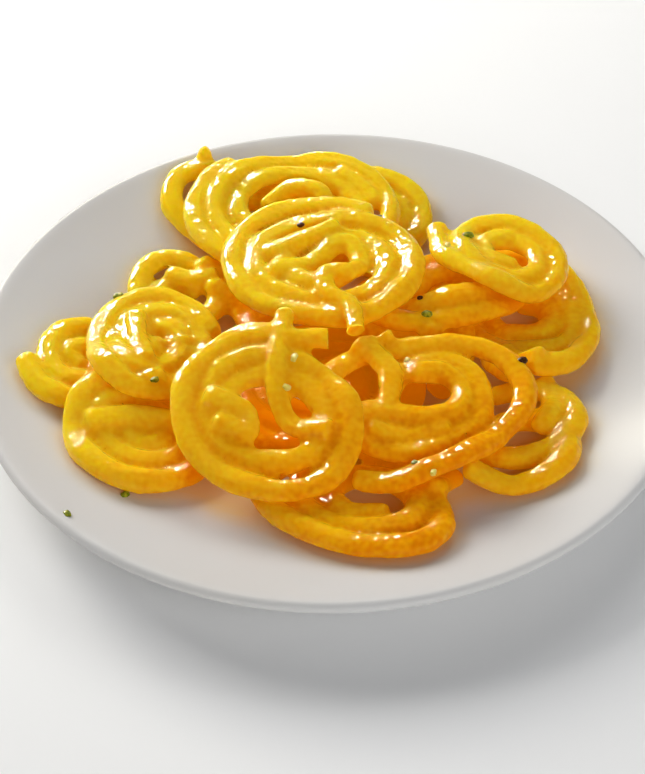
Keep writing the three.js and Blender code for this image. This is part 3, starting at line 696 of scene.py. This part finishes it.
# How hollow the skin is, 0 on a sharp ridge to 1 in a deep groove: how far along its normal each
# point moves when the skin is smoothed by repeated means of neighbours, against 1 mm.
def grooves(mesh, co, normal):
    ends = np.empty(len(mesh.edges) * 2, int)
    mesh.edges.foreach_get("vertices", ends)
    a, b = ends.reshape(-1, 2).T
    count = np.bincount(ends, minlength=len(co))[:, None]
    smooth = co
    for _ in range(batterLook["grooveReach"]):
        total = [np.bincount(a, smooth[b, k], len(co)) + np.bincount(b, smooth[a, k], len(co))
                 for k in range(3)]
        smooth = np.stack(total, -1) / count
    return np.clip(0.5 + ((smooth - co) * normal).sum(1), 0, 1)


# How far across its sweet a point lies from the window side, -1 to 1: the light soaks in from there, so the
# far side is painted in deeper shade.
def awayFromWindow(co):
    across = co[:, 0] - co[:, 1]
    low, high = across.min(), across.max()
    return (2 * across - low - high) / (high - low)


# The painted shade that the colours follow, about 0 at the heap's top to 1 deep in it.
def paintedShadeOf(mesh, co, normal, tone):
    look = syrupLook
    return (look["depthShare"] * depthInHeap(co) + look["sideShare"] * (1 - normal[:, 2])
            + look["grooveShare"] * grooves(mesh, co, normal) + look["toneShare"] * tone
            + look["shadeShare"] * awayFromWindow(co))


syrupBatter = batterMaterial("syrupBatter")
for number, (sweet, lay) in enumerate(zip(sweets, laid), 1):
    node = f"jalebi_{number:02d}"
    skins = [strandSkin(s["rings"], s["strand"], s["blunt"], 100 * number + k)
             for k, s in enumerate(lay["strands"])]
    skins += [lumpSkin(middle, size, 10 * number + k) for k, (middle, size) in enumerate(lay["lumps"])]
    mesh, co, normal = fuse(f"jalebi{number:02d}Coil", skins, 7 * number)
    # Painted shade, which the batter's colour, glow and coat follow.
    paintedShade = paintedShadeOf(mesh, co, normal, sweet["tone"])
    mesh.attributes.new("paintedShade", "FLOAT", "POINT").data.foreach_set("value", paintedShade.astype(np.float32))
    mesh.materials.clear()
    mesh.materials.append(syrupBatter)
    piece = bpy.data.objects.new(mesh.name, mesh)
    bpy.context.scene.collection.objects.link(piece)
    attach(piece, "root")
    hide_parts(node)
    print(mesh.name, len(mesh.polygons), "faces")


chips = [
    dict(at=[-79, 22], size=[4, 2.6, 2.4], turn=20, kind="green"),
    dict(at=[-16, -41], size=[3.4, 2.4, 2], turn=-30, kind="pale"),
    dict(at=[-13, -30], size=[3.8, 2.4, 2.2], turn=60, kind="pale"),
    dict(at=[44, 35], size=[3, 2.2, 2.2], turn=80, kind="pale"),
    dict(at=[52, 42], size=[4, 2.8, 2.4], turn=10, kind="green"),
    dict(at=[35, 5], size=[3.6, 2.8, 2.4], turn=0, kind="green"),
    dict(at=[-72, -69], size=[3.4, 2.4, 2], turn=40, kind="green"),
    dict(at=[-90, -86], size=[3.2, 2.2, 1.8], turn=120, kind="green"),
    dict(at=[-63, -27], size=[3, 2.2, 2], turn=15, kind="green"),
    dict(at=[34, -74], size=[2.6, 2, 1.8], turn=70, kind="pale"),
    dict(at=[28, -69], size=[2.8, 2, 1.8], turn=-20, kind="green"),
    dict(at=[27, -19], size=[3, 2, 2], turn=75, kind="pale"),
    dict(at=[68, -20], size=[4.4, 3.2, 2.8], turn=25, kind="seed"),
    dict(at=[-11, 51], size=[3, 2, 1.8], turn=5, kind="seed"),
    dict(at=[19, 55], size=[3, 2, 1.8], turn=35, kind="seed"),
    dict(at=[33, 14], size=[2.4, 2, 1.8], turn=0, kind="seed"),
]
chipLook = {
    "lift": 0.1,  # of a chip's height, from the surface to its middle
    "cut": (0.75, 0.18), "round": (1.0, 0.05),  # power that squares a ball, and how rough it is
    "fleckScale": 900, "fleckHeight": 0.0003,
    "green": [(0.10, 0.15, 0.003), (0.42, 0.40, 0.02)],
    "pale": [(0.75, 0.58, 0.06), (0.95, 0.82, 0.22)],
    "seed": [(0.03, 0.012, 0.005), (0.10, 0.04, 0.015)],
}
allMiddles = np.vstack([lay["middles"] for lay in laid])
allWidths = np.concatenate([lay["widths"] for lay in laid])


# Height of the highest strand under a point, taken as a roof as in the solids, or of the plate.
def restingHeight(place):
    away = np.linalg.norm(allMiddles[:, :2] - place, axis=1) / allWidths
    roof = allMiddles[:, 2] + strandFlatness * allWidths * (1 - away / 2)
    return max(float(np.where(away < 1, roof, -1).max()), float(plateTop(np.hypot(*place))))


# A cut chip: a sphere by height and turn pulled towards a box and roughened.
def chipSkin(chip, seed):
    points, faces = lumpSkin(np.zeros(3), np.ones(3) - batterLook["close"], seed)  # 1 in radius
    pull, rough = chipLook["round" if chip["kind"] == "seed" else "cut"]
    boxed = np.sign(points) * np.abs(points) ** pull
    boxed *= 1 + rough * latticeNoise(boxed * 2 + seed, 1.1, seed)[:, None]
    turn = math.radians(chip["turn"])
    x, y, z = (boxed * np.array(chip["size"]) / 2).T
    middle = restingHeight(np.array(chip["at"], float)) + chipLook["lift"] * chip["size"][2]
    placed = np.stack([x * math.cos(turn) - y * math.sin(turn) + chip["at"][0],
                       x * math.sin(turn) + y * math.cos(turn) + chip["at"][1], z + middle], -1)
    return placed, faces


# Two colours in flecks, with a little of the syrup's gloss.
def chipMaterial(name, colours, roughness):
    material, shader = newMaterial(name)
    fleck = noise(material, objectPlace(material), chipLook["fleckScale"], 3.0)
    flecked = ramp(material, fleck, [(0.35, colours[0]), (0.65, colours[1])])
    joinSocket(material, flecked, shader, "Base Color")
    bump = addNode(material, "ShaderNodeBump", Strength=0.4, Distance=chipLook["fleckHeight"], Height=fleck)
    joinSocket(material, bump.outputs["Normal"], shader, "Normal")
    shader.inputs["Roughness"].default_value = roughness
    shader.inputs["Subsurface Weight"].default_value = 0.2
    shader.inputs["Subsurface Scale"].default_value = 0.001
    shader.inputs["Specular IOR Level"].default_value = 0.1
    shader.inputs["Coat Weight"].default_value = 0.15
    shader.inputs["Coat Roughness"].default_value = 0.15
    return material


chipPieces = [("green", "pistachioChips", 0.45), ("pale", "nutCrumbs", 0.4), ("seed", "cardamomSeeds", 0.3)]
for kind, name, roughness in chipPieces:
    skins = [chipSkin(chip, seed) for seed, chip in enumerate(chips, 3) if chip["kind"] == kind]
    piece = makeMesh(name, *joinSkins(skins), chipMaterial(name, chipLook[kind], roughness))
    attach(piece, "root")
print("chips and seeds made")


studio = {
    "floor": 3.0, "floorTone": (0.93, 0.93, 0.93), "world": 0.1,
    "lightDistance": 1.3, "lightHeight": 0.02,
}
# direction, width and height, power and tint; a shine shows only as a reflection
shineTint = (1.0, 0.95, 0.78)
lights = [
    dict(name="leftWindow", way=(-0.71, 0.71, 0.53), size=(0.7, 0.7), power=15, tint=(1.0, 0.985, 0.96)),
    dict(name="backWindow", way=(0.1, 1.0, 0.78), size=(0.8, 0.6), power=5.5, tint=(1, 1, 1)),
    dict(name="frontFill", way=(0.39, -0.92, 0.53), size=(1.4, 0.7), power=9, tint=(0.97, 0.985, 1.0)),
    dict(name="leftShine", way=(-0.62, 0.75, 0.32), size=(0.3, 0.3), power=60, tint=shineTint, shine=True),
    dict(name="backShine", way=(-0.25, 0.86, 0.44), size=(0.34, 0.18), power=30, tint=shineTint, shine=True),
]


def makeFloor():
    material, shader = newMaterial("paleFloor")
    shader.inputs["Base Color"].default_value = (*studio["floorTone"], 1)
    shader.inputs["Roughness"].default_value = 0.9
    half = studio["floor"] / mm / 2
    floor = makeMesh("paleFloor", [[-half, -half, 0], [half, -half, 0], [half, half, 0], [-half, half, 0]],
                     [[0, 1, 2, 3]], material)


# An area light that faces the middle of the heap. A window's light and its mirror image are two
# lights near each other, so that the highlights can be small and bright under soft light.
def softLight(name, way, size, power, tint, shine=False):
    data = bpy.data.lights.new(name, "AREA")
    data.shape = "RECTANGLE"
    data.size, data.size_y = size
    data.energy = power
    data.color = tint
    light = bpy.data.objects.new(name, data)
    bpy.context.scene.collection.objects.link(light)
    away = Vector(way).normalized()
    light.location = Vector((0, 0, studio["lightHeight"])) + away * studio["lightDistance"]
    light.rotation_euler = away.to_track_quat("Z", "Y").to_euler()
    light.visible_glossy = shine
    light.visible_diffuse = light.visible_transmission = not shine


makeFloor()
for light in lights:
    softLight(**light)

world = bpy.data.worlds.new("softRoom")
bpy.context.scene.world = world
world.use_nodes = True
background = world.node_tree.nodes["Background"]
background.inputs["Color"].default_value = (1.0, 1.0, 1.0, 1)
background.inputs["Strength"].default_value = studio["world"]
world.cycles_visibility.glossy = False  # a dark room for reflections, so that only the windows shine

cameraLook = {
    "elevation": 42.562, "distance": 0.8, "target": (-0.003388, -0.000965, 0),
    "lens": 99.7, "sensor": 36, "roll": -0.597,
}
data = bpy.data.cameras.new("tableCamera")
data.sensor_fit = "VERTICAL"
data.sensor_height = data.sensor_width = cameraLook["sensor"]
data.lens = cameraLook["lens"]
camera = bpy.data.objects.new("tableCamera", data)
bpy.context.scene.collection.objects.link(camera)
elevation = math.radians(cameraLook["elevation"])
back = Vector((0, -math.cos(elevation), math.sin(elevation)))
camera.location = Vector(cameraLook["target"]) + back * cameraLook["distance"]
upright = Euler((math.pi / 2 - elevation, 0, 0)).to_matrix()
camera.rotation_euler = (upright @ Matrix.Rotation(math.radians(cameraLook["roll"]), 3, "Z")).to_euler()
bpy.context.scene.camera = camera
bpy.context.scene.view_settings.view_transform = "Standard"
print("light and camera set")
